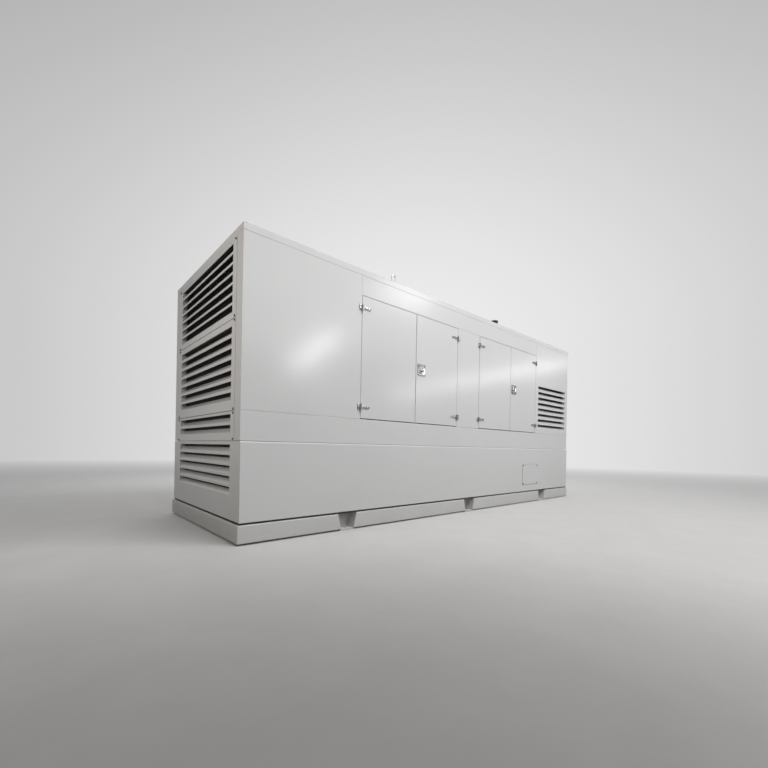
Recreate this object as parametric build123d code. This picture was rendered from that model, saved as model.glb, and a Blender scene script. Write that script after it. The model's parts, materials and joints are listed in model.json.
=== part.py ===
from build123d import *
import os

# Enclosed generator set: a painted sheet steel canopy with hinged access doors and louvred air
# openings, standing on a base frame with anchor pockets. Millimetres, +Z up, origin at the bottom
# centre. The door side that shows faces -Y and the louvred end faces -X.

# Overall sizes
length = 5480
width = 1790
height = 2400

# Heights of the bands that make up the side, from the ground up
skirt_height = 150
skirt_gap = 16
lower_wall_height = 610
belt_height = 233
header_depth = 184
roof_depth = 58

# Widths along the side, and the share of an opening that its left leaf takes
left_panel_width = 1117
pillar_width = 432
right_panel_width = 1067
leaf_split_share = 0.513

# Panels
wall_thick = 50
edge_bevel = 2
tank_proud = 9
tank_bevel = 8
belt_bevel = 4
rebate_width = 4
rebate_depth = 25
overrun = 5
lining_thick = 30

# Doors: a folded pan with an acoustic lining, closing in front of a stop
door_thick = 40
door_skin = 4
door_rim = 30
door_gap = 6
door_head_gap = 5
door_foot_gap = 8
door_lining_thick = 32
stop_lap = 26
stop_seat = 40
stop_thick = 8

# Base frame: folded channels, carried clear of the ground on the foot plates of the anchor pockets
base_proud = 15
channel_plate = 8
channel_flange = 60
channel_bend = 6
floor_plate = 8
deck_plate = 12
cross_member_width = 80
cross_member_depth = 100

# Anchor pockets, three on each long side
pocket_left_inset = 987
pocket_right_inset = 857
pocket_face = 324
pocket_top_width = 206
pocket_low_width = 138
pocket_depth = 100
pocket_plate = 8
foot_thick = 12
anchor_hole_radius = 13
anchor_hole_setback = 40

# Louvres: slots in a sheet, each with a blade turned in and up from its lower edge. The pitch is
# the least one: a row is spread evenly over the height that it is given.
louvre_sheet = 4
slot_height = 60
slot_pitch = 78
blade_reach = 39
blade_rise = 39
blade_cut = 6
recess_margin = 10
screen_thick = 6
screen_lap = 12
screen_hood = 3

# Louvred end: corner posts, three bolted panels and the lower wall, each with its margins
corner_post_width = 120
end_slot_margin = 80
upper_panel_height = 622
upper_slot_drop = 34
upper_slot_rise = 55
middle_slot_drop = 53
middle_slot_rise = 86
lower_slot_drop = 23
lower_slot_rise = 66
tank_slot_drop = 27
tank_slot_rise = 193

# Louvre in the right panel of each side
side_slot_margin = 85
side_slot_drop = 627
side_slot_rise = 72

# Hinges
hinge_inset = 115
knuckle_radius = 12
knuckle_length = 54
knuckle_clear = 0.5
knuckle_setoff = 1.5
pin_radius = 5
pin_clear = 0.05
pin_end_clear = 3
leaf_thick = 5
leaf_length = 36
strap_length = 110
strap_height = 26
strap_corner = 8

# Latches
latch_width = 118
latch_height = 120
latch_inset = 22
latch_proud = 7
latch_corner = 14
dish_width = 90
dish_height = 92
dish_depth = 6
dish_corner = 10
paddle_width = 60
paddle_height = 52
paddle_thick = 4
paddle_rise = 14

# Bolted access plate on the lower wall
access_right_inset = 992
access_width = 425
access_height = 290
access_rise = 93
access_thick = 4

# Roof fittings
loop_inset = 1557
loop_setback = 52
loop_bar_radius = 7
loop_bar_sides = 8
loop_spacing = 46
loop_straight = 69
loop_foot_length = 96
loop_foot_width = 56
loop_foot_thick = 6
breather_inset = 2099
breather_setback = 58
breather_cap_radius = 48
breather_neck_radius = 30
breather_neck_height = 24
breather_height = 46

# Levels and lines worked out from the sizes above
half_length = length / 2
half_width = width / 2
skirt_low = foot_thick
shell_low = skirt_height + skirt_gap
tank_top = shell_low + lower_wall_height
belt_top = tank_top + belt_height
wall_top = height - roof_depth
door_top = wall_top - header_depth
door_mid = (belt_top + door_top) / 2
end_panel_seam = wall_top - upper_panel_height
base_half_length = half_length + base_proud
base_half_width = half_width + base_proud
inner_half_length = half_length - wall_thick
inner_half_width = half_width - wall_thick
end_panel_half = half_width - corner_post_width
end_slot_half = end_panel_half - end_slot_margin
doors_left = -half_length + left_panel_width
doors_right = half_length - right_panel_width
opening_width = (doors_right - doors_left - pillar_width) / 2
pillar_left = doors_left + opening_width
pillar_right = pillar_left + pillar_width
hinge_setoff = knuckle_radius + knuckle_clear
hinge_heights = (belt_top + hinge_inset, door_top - hinge_inset)
pocket_first = -half_length + pocket_left_inset
pocket_last = half_length - pocket_right_inset
pocket_mid = (pocket_first + pocket_last) / 2
pocket_mids = (pocket_first, pocket_mid, pocket_last)

# Frames in which a wall is drawn with its outer face on y = 0
front = Pos(0, -half_width, 0)
left_end = Pos(-half_length, 0, 0) * Rot(0, 0, -90)
right_end = Pos(half_length, 0, 0) * Rot(0, 0, 90)


def block(low, high):
    """A box between two corners."""
    spans = [top - bottom for bottom, top in zip(low, high)]
    return Pos(*low) * Box(*spans, align=(Align.MIN, Align.MIN, Align.MIN))


def to_rear(piece):
    """The same piece on the other long side."""
    return mirror(piece, about=Plane.XZ)


def to_right(piece):
    """The same piece on the other end."""
    return mirror(piece, about=Plane.YZ)


def wall(x_low, x_high, z_low, z_high, thick, mitre_low=False, mitre_high=False, top_bevel=edge_bevel):
    """A panel bevelled where it meets the next one, or mitred at a corner of the canopy."""
    back_low = x_low + thick if mitre_low else x_low
    back_high = x_high - thick if mitre_high else x_high
    section = Polygon((x_low, 0), (x_high, 0), (back_high, thick), (back_low, thick), align=None)
    panel = Pos(0, 0, z_low) * extrude(section, z_high - z_low)
    outer = panel.faces().sort_by(Axis.Y)[0]
    panel = chamfer(outer.edges().sort_by(Axis.Z)[-1], top_bevel)
    outer = panel.faces().sort_by(Axis.Y)[0]
    edges = outer.edges().filter_by(Axis.X).sort_by(Axis.Z)[:1]
    sides = outer.edges().filter_by(Axis.Z).sort_by(Axis.X)
    if not mitre_low:
        edges.append(sides[0])
    if not mitre_high:
        edges.append(sides[-1])
    return chamfer(edges, edge_bevel)


# Louvres

def slots_between(low, high):
    """Upper edges of the slots that fit between two heights, spread evenly from the top down."""
    run = high - low - slot_height
    steps = int(run // slot_pitch)
    return [high - run * row / max(steps, 1) for row in range(steps + 1)]


def louvred(panel, x_low, x_high, tops):
    """Cut a row of slots into a panel and turn a blade in from each lower edge."""
    recess_low = tops[-1] - slot_height - blade_cut - recess_margin
    recess_high = tops[0] + recess_margin
    panel -= block((x_low, louvre_sheet, recess_low), (x_high, wall_thick + overrun, recess_high))
    for slot_top in tops:
        slot_low = slot_top - slot_height
        panel -= block((x_low, -overrun, slot_low), (x_high, louvre_sheet + overrun, slot_top))
        blade = Plane.YZ * Polygon(
            (0, slot_low - blade_cut),
            (blade_reach, slot_low + blade_rise - blade_cut),
            (blade_reach, slot_low + blade_rise),
            (0, slot_low),
            align=None,
        )
        panel += Pos(x_low, 0, 0) * extrude(blade, x_high - x_low)
    return panel


def louvre_screen(x_low, x_high, tops):
    """The mesh panel that lies against the back of a louvre, with a hood over the top slot."""
    low = tops[-1] - slot_height - screen_lap
    high = tops[0] + screen_lap
    recess_high = tops[0] + recess_margin
    back = wall_thick + screen_thick
    mesh = block((x_low - screen_lap, wall_thick, low), (x_high + screen_lap, back, high))
    hood = block((x_low, louvre_sheet, recess_high - screen_hood), (x_high, back, recess_high))
    return mesh + hood


# Base frame

def front_skirt():
    """Folded channel runs between the anchor pockets."""
    outline = Polygon(
        (0, skirt_low),
        (channel_flange, skirt_low),
        (channel_flange, skirt_low + channel_plate),
        (channel_plate, skirt_low + channel_plate),
        (channel_plate, skirt_height - channel_plate),
        (channel_flange, skirt_height - channel_plate),
        (channel_flange, skirt_height),
        (0, skirt_height),
        align=None,
    )
    bends = outline.vertices().group_by(Axis.X)[0]
    profile = Plane.YZ * fillet(bends, channel_bend)
    run_half = base_half_length - channel_plate
    starts = [-run_half] + [mid + pocket_face / 2 for mid in pocket_mids]
    ends = [mid - pocket_face / 2 for mid in pocket_mids] + [run_half]
    runs = []
    for start, end in zip(starts, ends):
        runs.append(Pos(start, -base_half_width, 0) * extrude(profile, end - start))
    return runs


def left_skirt():
    """The end channel: its web closes the ends of the long skirts, its flanges lie between them."""
    inner = base_half_width - channel_flange
    web = block((0, -base_half_width, skirt_low), (channel_plate, base_half_width, skirt_height))
    web = fillet(web.edges().group_by(Axis.X)[0], channel_bend)
    foot = block((channel_bend, -inner, skirt_low), (channel_flange, inner, skirt_low + channel_plate))
    cap = block((channel_bend, -inner, skirt_height - channel_plate), (channel_flange, inner, skirt_height))
    return Pos(-base_half_length, 0, 0) * (web + foot + cap)


def trapezium(grow, low):
    """Outline of an anchor pocket, seen from the side, grown by a plate's thickness."""
    return Plane.XZ * Polygon(
        (-pocket_low_width / 2 - grow, low),
        (pocket_low_width / 2 + grow, low),
        (pocket_top_width / 2 + grow, skirt_height),
        (-pocket_top_width / 2 - grow, skirt_height),
        align=None,
    )


def anchor_pocket(mid_x):
    """A splayed recess in the skirt with a drilled foot plate."""
    hollow = Pos(0, -overrun, 0) * extrude(trapezium(0, foot_thick), -pocket_depth - overrun)
    trough_depth = pocket_depth + pocket_plate - channel_bend
    trough = Pos(0, channel_bend, 0) * extrude(trapezium(pocket_plate, 0), -trough_depth)
    face = block((-pocket_face / 2, 0, skirt_low), (pocket_face / 2, channel_plate, skirt_height))
    bends = face.edges().filter_by(Axis.X).group_by(Axis.Y)[0]
    face = fillet(bends, channel_bend)
    hole = Pos(0, anchor_hole_setback, 0) * Cylinder(anchor_hole_radius, foot_thick * 2 + overrun)
    return Pos(mid_x, -base_half_width, 0) * (face + trough - hollow - hole)


def front_pads():
    """Packers beside each pocket that carry the shell clear of the skirt."""
    pads = []
    for mid in pocket_mids:
        for near, far in ((-pocket_face, -pocket_top_width), (pocket_top_width, pocket_face)):
            low = (mid + near / 2, -half_width, skirt_height)
            high = (mid + far / 2, -inner_half_width, shell_low)
            pads.append(block(low, high))
    return pads


def cross_members():
    """Beams under the floor, one in the middle of each bay between the ends and the pockets."""
    half_span = base_half_width - channel_flange
    bay_lines = (-base_half_length, *pocket_mids, base_half_length)
    beams = []
    for start, end in zip(bay_lines, bay_lines[1:]):
        x_low = (start + end - cross_member_width) / 2
        low = (x_low, -half_span, skirt_height - cross_member_depth)
        beams.append(block(low, (x_low + cross_member_width, half_span, skirt_height)))
    return beams


def inner_plate(top, thick):
    """A floor that fills the canopy between its walls."""
    low = (-inner_half_length, -inner_half_width, top - thick)
    return block(low, (inner_half_length, inner_half_width, top))


# Canopy

def tank_side():
    """Lower wall of a long side: its skin stands proud of the belt and is bevelled along the top."""
    section = Polygon(
        (-half_length, -tank_proud),
        (half_length, -tank_proud),
        (half_length, 0),
        (inner_half_length, wall_thick),
        (-inner_half_length, wall_thick),
        (-half_length, 0),
        align=None,
    )
    panel = Pos(0, 0, shell_low) * extrude(section, lower_wall_height)
    outer = panel.faces().sort_by(Axis.Y)[0]
    panel = chamfer(outer.edges().sort_by(Axis.Z)[-1], tank_bevel)
    outer = panel.faces().sort_by(Axis.Y)[0]
    return chamfer(outer.edges().sort_by(Axis.Z)[0], edge_bevel)


def foot_rebated(panel, x_low, x_high, z_low):
    """A panel cut back along its foot, so that the joint under it is dark."""
    cut_low = (x_low - overrun, -overrun, z_low - overrun)
    return panel - block(cut_low, (x_high + overrun, rebate_depth, z_low + rebate_width))


def side_panels():
    """The fixed panels of the front side, by name."""
    belt = wall(-half_length, half_length, tank_top, belt_top, wall_thick, True, True, belt_bevel)
    right = wall(doors_right, half_length, belt_top, wall_top, wall_thick, mitre_high=True)
    return {
        "lower_wall": tank_side(),
        "belt": foot_rebated(belt, -half_length, half_length, tank_top),
        "left_panel": wall(-half_length, doors_left, belt_top, wall_top, wall_thick, mitre_low=True),
        "header": wall(doors_left, doors_right, door_top, wall_top, wall_thick),
        "pillar": wall(pillar_left, pillar_right, belt_top, door_top, wall_thick),
        "right_panel": louvred(right, *side_row),
    }


def end_panel(z_low, z_high):
    """A bolted panel, rebated along its foot and sides so that the joint round it is dark."""
    panel = wall(-end_panel_half, end_panel_half, z_low, z_high, wall_thick)
    panel = foot_rebated(panel, -end_panel_half, end_panel_half, z_low)
    for x_low in (-end_panel_half - overrun, end_panel_half - rebate_width):
        x_high = x_low + overrun + rebate_width
        panel -= block((x_low, -overrun, z_low), (x_high, rebate_depth, z_high + overrun))
    return panel


def end_post():
    """Corner post of the left end, mitred to the front side."""
    post = wall(end_panel_half, half_width, tank_top, wall_top, wall_thick, mitre_high=True)
    return left_end * foot_rebated(post, end_panel_half, half_width, tank_top)


def canopy_lining():
    """Acoustic lining under the roof, along the rear side and on the plain end."""
    lining_low = wall_top - lining_thick
    screen_face = inner_half_length - screen_thick
    end_half = inner_half_width - screen_thick
    roof_lining = block(
        (-screen_face, -inner_half_width, lining_low),
        (inner_half_length, inner_half_width, wall_top),
    )
    rear_lining = block(
        (-screen_face, inner_half_width - lining_thick, tank_top),
        (doors_right, inner_half_width, lining_low),
    )
    end_lining = block(
        (inner_half_length - lining_thick, -end_half, tank_top),
        (inner_half_length, end_half, lining_low),
    )
    return [roof_lining, rear_lining, end_lining]


def roof():
    """A folded roof tray, bevelled along its edges."""
    tray = block((-half_length, -half_width, wall_top), (half_length, half_width, height))
    return chamfer(tray.edges().filter_by(Axis.Z, reverse=True), edge_bevel)


def lifting_loop():
    """A bent bar loop on a foot plate near the front edge of the roof."""
    half = loop_spacing / 2
    path = Plane.XZ * (
        Line((-half, 0), (-half, loop_straight))
        + ThreePointArc((-half, loop_straight), (0, loop_straight + half), (half, loop_straight))
        + Line((half, loop_straight), (half, 0))
    )
    section = Pos(-half, 0, 0) * RegularPolygon(loop_bar_radius, loop_bar_sides)
    bar = sweep(section, path=path.wire())
    foot = Box(
        loop_foot_length, loop_foot_width, loop_foot_thick, align=(Align.CENTER, Align.CENTER, Align.MIN)
    )
    return Pos(-half_length + loop_inset, -half_width + loop_setback, height) * (foot + bar)


def breather():
    """A low capped breather on the roof."""
    cap_height = breather_height - breather_neck_height
    on_foot = (Align.CENTER, Align.CENTER, Align.MIN)
    neck = Cylinder(breather_neck_radius, breather_neck_height, align=on_foot)
    cap = Pos(0, 0, breather_neck_height) * Cylinder(breather_cap_radius, cap_height, align=on_foot)
    return Pos(half_length - breather_inset, -half_width + breather_setback, height) * (neck + cap)


# Doors

def door(x_low, x_high):
    """A folded pan, open at the back."""
    low = belt_top + door_foot_gap
    high = door_top - door_head_gap
    pan = wall(x_low, x_high, low, high, door_thick)
    hollow = block(
        (x_low + door_rim, door_skin, low + door_rim),
        (x_high - door_rim, door_thick + overrun, high - door_rim),
    )
    return front * (pan - hollow)


def door_lining(x_low, x_high):
    """The lining that fills a door's pan."""
    low = belt_top + door_foot_gap + door_rim
    high = door_top - door_head_gap - door_rim
    back = door_skin + door_lining_thick
    return front * block((x_low + door_rim, door_skin, low), (x_high - door_rim, back, high))


def door_stops(x_low, x_high):
    """Four flats behind the edges of a door opening, fixed to the panels round it."""
    outer_low, outer_high = x_low - stop_seat, x_high + stop_seat
    inner_low, inner_high = x_low + stop_lap, x_high - stop_lap
    back = wall_thick + stop_thick
    bars = [
        block((outer_low, wall_thick, belt_top - stop_seat), (outer_high, back, belt_top + stop_lap)),
        block((outer_low, wall_thick, door_top - stop_lap), (outer_high, back, door_top + stop_seat)),
        block((outer_low, wall_thick, belt_top + stop_lap), (inner_low, back, door_top - stop_lap)),
        block((inner_high, wall_thick, belt_top + stop_lap), (outer_high, back, door_top - stop_lap)),
    ]
    return [front * bar for bar in bars]


def hinge_place(axis_x, mid_z):
    """The frame of a hinge: its pin on z, the door's face at y = hinge_setoff."""
    return front * Pos(axis_x, -hinge_setoff, mid_z)


def hinge_leaf():
    """Fixed half of a lift-off hinge: leaf, lower knuckle and pin."""
    half = knuckle_length / 2
    leaf_face = hinge_setoff - leaf_thick
    leaf = block((-leaf_length, leaf_face, -half), (-knuckle_radius - knuckle_setoff, hinge_setoff, half))
    web = block((-knuckle_radius - knuckle_setoff, leaf_face, -half), (0, knuckle_radius, 0))
    knuckle = Pos(0, 0, -half / 2) * Cylinder(knuckle_radius, half)
    pin = Cylinder(pin_radius, half - pin_end_clear, align=(Align.CENTER, Align.CENTER, Align.MIN))
    return leaf + web + knuckle + pin


def hinge_strap():
    """Moving half of a lift-off hinge: the strap on the door and the upper knuckle."""
    half = knuckle_length / 2
    strap_face = hinge_setoff - leaf_thick
    strap_low = (knuckle_radius + knuckle_setoff, strap_face, -strap_height / 2)
    strap = block(strap_low, (strap_length, hinge_setoff, strap_height / 2))
    tip = strap.edges().filter_by(Axis.Y).group_by(Axis.X)[-1]
    strap = chamfer(tip, strap_corner)
    web_high = (knuckle_radius + knuckle_setoff, knuckle_radius, strap_height / 2)
    web = block((0, strap_face, knuckle_clear), web_high)
    knuckle_height = half - knuckle_clear
    knuckle = Pos(0, 0, knuckle_clear) * Cylinder(
        knuckle_radius, knuckle_height, align=(Align.CENTER, Align.CENTER, Align.MIN)
    )
    socket = Cylinder(pin_radius + pin_clear, half, align=(Align.CENTER, Align.CENTER, Align.MIN))
    return strap + web + knuckle - Pos(0, 0, -pin_end_clear / 2) * socket


def closed_hinge():
    """Both halves of a hinge in one piece, for doors that stay shut."""
    half = knuckle_length / 2
    face = hinge_setoff - leaf_thick
    leaf = block((-leaf_length, face, -half), (0, hinge_setoff, half))
    strap = block((0, face, -strap_height / 2), (strap_length, hinge_setoff, strap_height / 2))
    return leaf + strap + Cylinder(knuckle_radius, knuckle_length)


def facing(piece, side):
    """A hinge piece drawn for a door on the right of its pin, turned to the side the door is on."""
    return piece if side > 0 else to_right(piece)


def latch(door_left):
    """A paddle latch: bezel, dish and pull paddle."""
    mid_x = door_left + latch_inset + latch_width / 2
    floor = latch_proud - dish_depth
    bezel = extrude(RectangleRounded(latch_width, latch_height, latch_corner), latch_proud)
    bezel -= Pos(0, 0, floor) * extrude(RectangleRounded(dish_width, dish_height, dish_corner), dish_depth)
    paddle = Box(paddle_width, paddle_height, paddle_thick, align=(Align.CENTER, Align.CENTER, Align.MIN))
    bezel += Pos(0, paddle_rise, floor) * paddle
    return front * Pos(mid_x, 0, door_mid) * Rot(90, 0, 0) * bezel


# Rows of slots: left edge, right edge and the slots' upper edges
side_slots = slots_between(belt_top + side_slot_rise, wall_top - side_slot_drop)
tank_slots = slots_between(shell_low + tank_slot_rise, tank_top - tank_slot_drop)
lower_slots = slots_between(tank_top + lower_slot_rise, belt_top - lower_slot_drop)
middle_slots = slots_between(belt_top + middle_slot_rise, end_panel_seam - middle_slot_drop)
upper_slots = slots_between(end_panel_seam + upper_slot_rise, wall_top - upper_slot_drop)
side_row = (doors_right + side_slot_margin, half_length - side_slot_margin, side_slots)
tank_row = (-end_slot_half, end_slot_half, tank_slots)
lower_row = (-end_slot_half, end_slot_half, lower_slots)
middle_row = (-end_slot_half, end_slot_half, middle_slots)
upper_row = (-end_slot_half, end_slot_half, upper_slots)

# Door leaves: left edge, right edge, hinge pin and the side of the pin that the leaf is on
half_gap = door_gap / 2
first_split = doors_left + opening_width * leaf_split_share
second_split = pillar_right + opening_width * leaf_split_share
doors = {
    "door_1": (doors_left + door_gap, first_split - half_gap, doors_left + half_gap, 1),
    "door_2": (first_split + half_gap, pillar_left - door_gap, pillar_left - half_gap, -1),
    "door_3": (pillar_right + door_gap, second_split - half_gap, pillar_right + half_gap, 1),
    "door_4": (second_split + half_gap, doors_right - door_gap, doors_right - half_gap, -1),
}
latched = ("door_2", "door_4")

nodes = {}

# Base frame
nodes["front_skirt"] = front_skirt()
nodes["rear_skirt"] = [to_rear(run) for run in front_skirt()]
nodes["end_skirts"] = [left_skirt(), to_right(left_skirt())]
nodes["front_anchor_pockets"] = [anchor_pocket(mid) for mid in pocket_mids]
nodes["rear_anchor_pockets"] = [to_rear(anchor_pocket(mid)) for mid in pocket_mids]
nodes["support_pads"] = front_pads() + [to_rear(pad) for pad in front_pads()]
nodes["cross_members"] = cross_members()
nodes["base_floor"] = [inner_plate(skirt_height + floor_plate, floor_plate)]
nodes["deck"] = [inner_plate(tank_top, deck_plate)]

# Long sides: the rear repeats the front
for name, panel in side_panels().items():
    nodes["front_" + name] = [front * panel]
    nodes["rear_" + name] = [to_rear(front * panel)]
access_cover = wall(0, access_width, 0, access_height, access_thick)
access_left = half_length - access_right_inset - access_width
access_corner = Pos(access_left, -tank_proud - access_thick, shell_low + access_rise)
nodes["access_plate"] = [front * access_corner * access_cover]

# Louvred left end and plain right end
lower_end = wall(-half_width, half_width, shell_low, tank_top, wall_thick, True, True)
nodes["left_lower_wall"] = [left_end * louvred(lower_end, *tank_row)]
nodes["left_lower_louvre"] = [left_end * louvred(end_panel(tank_top, belt_top), *lower_row)]
nodes["left_middle_louvre"] = [left_end * louvred(end_panel(belt_top, end_panel_seam), *middle_row)]
nodes["left_upper_louvre"] = [left_end * louvred(end_panel(end_panel_seam, wall_top), *upper_row)]
nodes["left_end_posts"] = [end_post(), to_rear(end_post())]
nodes["right_lower_wall"] = [right_end * lower_end]
nodes["right_end_posts"] = [to_right(post) for post in nodes["left_end_posts"]]
nodes["right_end_panels"] = [
    right_end * end_panel(tank_top, belt_top),
    right_end * end_panel(belt_top, end_panel_seam),
    right_end * end_panel(end_panel_seam, wall_top),
]

# Screens and linings inside
end_rows = (tank_row, lower_row, middle_row, upper_row)
side_screen = front * louvre_screen(*side_row)
nodes["left_louvre_screens"] = [left_end * louvre_screen(*row) for row in end_rows]
nodes["side_louvre_screens"] = [side_screen, to_rear(side_screen)]
nodes["canopy_lining"] = canopy_lining()

# Roof
nodes["roof"] = [roof()]
nodes["lifting_loops"] = [lifting_loop(), to_rear(lifting_loop())]
nodes["roof_breather"] = [breather()]

# Doors with their hinges, latches and stops
nodes["door_stops"] = door_stops(doors_left, pillar_left) + door_stops(pillar_right, doors_right)
nodes["hinge_leaves"] = []
nodes["rear_doors"] = []
nodes["rear_door_fittings"] = []
for name, (x_low, x_high, axis_x, side) in doors.items():
    places = [hinge_place(axis_x, mid_z) for mid_z in hinge_heights]
    nodes[name] = [door(x_low, x_high)]
    nodes[name + "_lining"] = [door_lining(x_low, x_high)]
    nodes[name + "_hinge_straps"] = [place * facing(hinge_strap(), side) for place in places]
    nodes["hinge_leaves"] += [place * facing(hinge_leaf(), side) for place in places]
    nodes["rear_doors"].append(to_rear(door(x_low, x_high)))
    nodes["rear_door_fittings"] += [to_rear(place * facing(closed_hinge(), side)) for place in places]
    if name in latched:
        nodes[name + "_latch"] = [latch(x_low)]
        nodes["rear_door_fittings"].append(to_rear(latch(x_low)))

os.makedirs("parts", exist_ok=True)
for name, solids in nodes.items():
    shape = solids[0] if len(solids) == 1 else Compound(children=solids)
    export_step(shape, os.path.join("parts", name + ".step"))
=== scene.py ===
import json
import math

import bmesh
import bpy
from mathutils import Matrix, Quaternion, Vector


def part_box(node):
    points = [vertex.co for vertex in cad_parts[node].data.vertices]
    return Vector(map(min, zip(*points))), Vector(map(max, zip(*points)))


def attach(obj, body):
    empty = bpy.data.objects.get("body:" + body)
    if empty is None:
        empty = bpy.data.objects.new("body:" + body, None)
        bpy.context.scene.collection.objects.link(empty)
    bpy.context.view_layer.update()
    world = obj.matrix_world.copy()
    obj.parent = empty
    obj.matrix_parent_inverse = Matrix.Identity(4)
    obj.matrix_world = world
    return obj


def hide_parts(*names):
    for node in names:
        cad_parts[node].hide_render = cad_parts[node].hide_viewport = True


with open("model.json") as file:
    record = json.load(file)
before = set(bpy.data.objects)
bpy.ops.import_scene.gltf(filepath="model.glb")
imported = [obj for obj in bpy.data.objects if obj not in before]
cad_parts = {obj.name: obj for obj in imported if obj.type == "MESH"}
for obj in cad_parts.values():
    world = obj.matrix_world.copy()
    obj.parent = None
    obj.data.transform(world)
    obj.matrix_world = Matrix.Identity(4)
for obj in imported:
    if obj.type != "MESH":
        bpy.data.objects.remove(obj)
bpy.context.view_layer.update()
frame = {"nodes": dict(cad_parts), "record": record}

scene = bpy.context.scene
nodes = frame["nodes"]
bodies = ("canopy", "door_1", "door_2", "door_3", "door_4")
doors = bodies[1:]

# Colours, as linear values
COAT_GREY = (0.690, 0.690, 0.690, 1)
SKIRT_GREY = (0.640, 0.640, 0.634, 1)
FRAME_GREY = (0.160, 0.160, 0.162, 1)
# Road dust tint, also used to paint shade low on the walls
ROAD_DUST_AND_SHADE = (0.430, 0.405, 0.370, 1)
STAINLESS = (0.520, 0.517, 0.510, 1)
CHROME = (0.460, 0.460, 0.465, 1)
SCREW_GREY = (0.110, 0.108, 0.105, 1)
GALVANISED = (0.660, 0.665, 0.670, 1)
SCREEN_BLACK = (0.012, 0.012, 0.012, 1)
SCREEN_WIRE = (0.045, 0.044, 0.042, 1)
# Black of the breather cap, also used for the painted shade in the latch gaps and keyway
CAP_AND_SHADE_BLACK = (0.022, 0.022, 0.023, 1)
FOAM_DARK = (0.040, 0.040, 0.043, 1)
FOAM_WORN = (0.075, 0.074, 0.074, 1)
RUBBER_BLACK = (0.016, 0.016, 0.016, 1)
GRIT_DARK = (0.160, 0.150, 0.140, 1)
FLOOR_PALE = (0.560, 0.552, 0.546, 1)
# Floor tone near the camera: painted shade
FLOOR_NEAR_SHADE = (0.290, 0.286, 0.282, 1)
FLOOR_BOUNCE = (0.250, 0.247, 0.243, 1)
BACKDROP = (0.840, 0.840, 0.840, 1)
AMBIENT = (0.500, 0.500, 0.500, 1)

# Heights of the surface textures, in metres for a full swing of the pattern
PANEL_RIPPLE = 0.0022
ORANGE_PEEL = 0.000035
METAL_LINES = 0.00003
WIRE_HEIGHT = 0.0015
FOAM_DIMPLES = 0.10
FOAM_PORES = 0.0006
MOULDED_GRAIN = 0.00012
ZINC_LUMPS = 0.0003

# How much dirt and painted shade show low down, and how much dirt and drawn lines dull a surface
DUST_FULL_HEIGHT = 0.02
GRIT_SHARE = 0.35
DUST_DULLS = 0.35
STREAK_DULLS = 0.25
LINES_DULL = 0.8

# Other values of the finishes
PAINT_IOR = 1.5
ZINC_METALLIC = 0.6
WIRES_PER_METRE = 80.0
BLOOM_SHARE = 0.6
BLOOM_GAIN, BLOOM_LIFT = 2.2, 0.012


# Node helpers

def put(tree, kind, values=None, **settings):
    """Adds a node, sets its own settings and then the values of its sockets."""
    node = tree.nodes.new(kind)
    for key, value in settings.items():
        setattr(node, key, value)
    for key, value in (values or {}).items():
        node.inputs[key].default_value = value
    return node


def feed(tree, source, node, socket):
    """Joins an output socket to a named or numbered input."""
    tree.links.new(source, node.inputs[socket])


def maths(tree, operation, first, second=0.0):
    """A Math node on one or two sockets or plain numbers."""
    node = put(tree, "ShaderNodeMath", operation=operation)
    for place, value in enumerate((first, second)):
        if isinstance(value, (int, float)):
            node.inputs[place].default_value = value
        else:
            feed(tree, value, node, place)
    return node.outputs[0]


def spread(tree, value, low, high, out_low=0.0, out_high=1.0):
    """Maps a value from one range to another, clamped."""
    node = put(tree, "ShaderNodeMapRange", {1: low, 2: high, 3: out_low, 4: out_high})
    feed(tree, value, node, 0)
    return node.outputs[0]


def blend_colour(tree, share, first, second, way="MIX"):
    """A colour mix of sockets or plain colours."""
    node = put(tree, "ShaderNodeMix", data_type="RGBA", blend_type=way)
    for socket, value in ((0, share), (6, first), (7, second)):
        if isinstance(value, (int, float, tuple)):
            node.inputs[socket].default_value = value
        else:
            feed(tree, value, node, socket)
    return node.outputs[2]


def noise(tree, where, scale, detail=2.0, rough=0.5):
    """A noise texture's value at a place."""
    node = put(tree, "ShaderNodeTexNoise", {"Scale": scale, "Detail": detail, "Roughness": rough})
    feed(tree, where, node, "Vector")
    return node.outputs[0]


def stretched(tree, where, scale):
    """A place scaled by its own share along each axis."""
    node = put(tree, "ShaderNodeVectorMath", {1: scale}, operation="MULTIPLY")
    feed(tree, where, node, 0)
    return node.outputs[0]


def new_group(name, inputs, outputs):
    """An empty shader group with its named sockets."""
    tree = bpy.data.node_groups.new(name, "ShaderNodeTree")
    for socket, kind, value in inputs:
        item = tree.interface.new_socket(socket, in_out="INPUT", socket_type=kind)
        item.default_value = value
    for socket, kind in outputs:
        tree.interface.new_socket(socket, in_out="OUTPUT", socket_type=kind)
    return tree, tree.nodes.new("NodeGroupInput").outputs, tree.nodes.new("NodeGroupOutput")


# Shader groups

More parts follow.
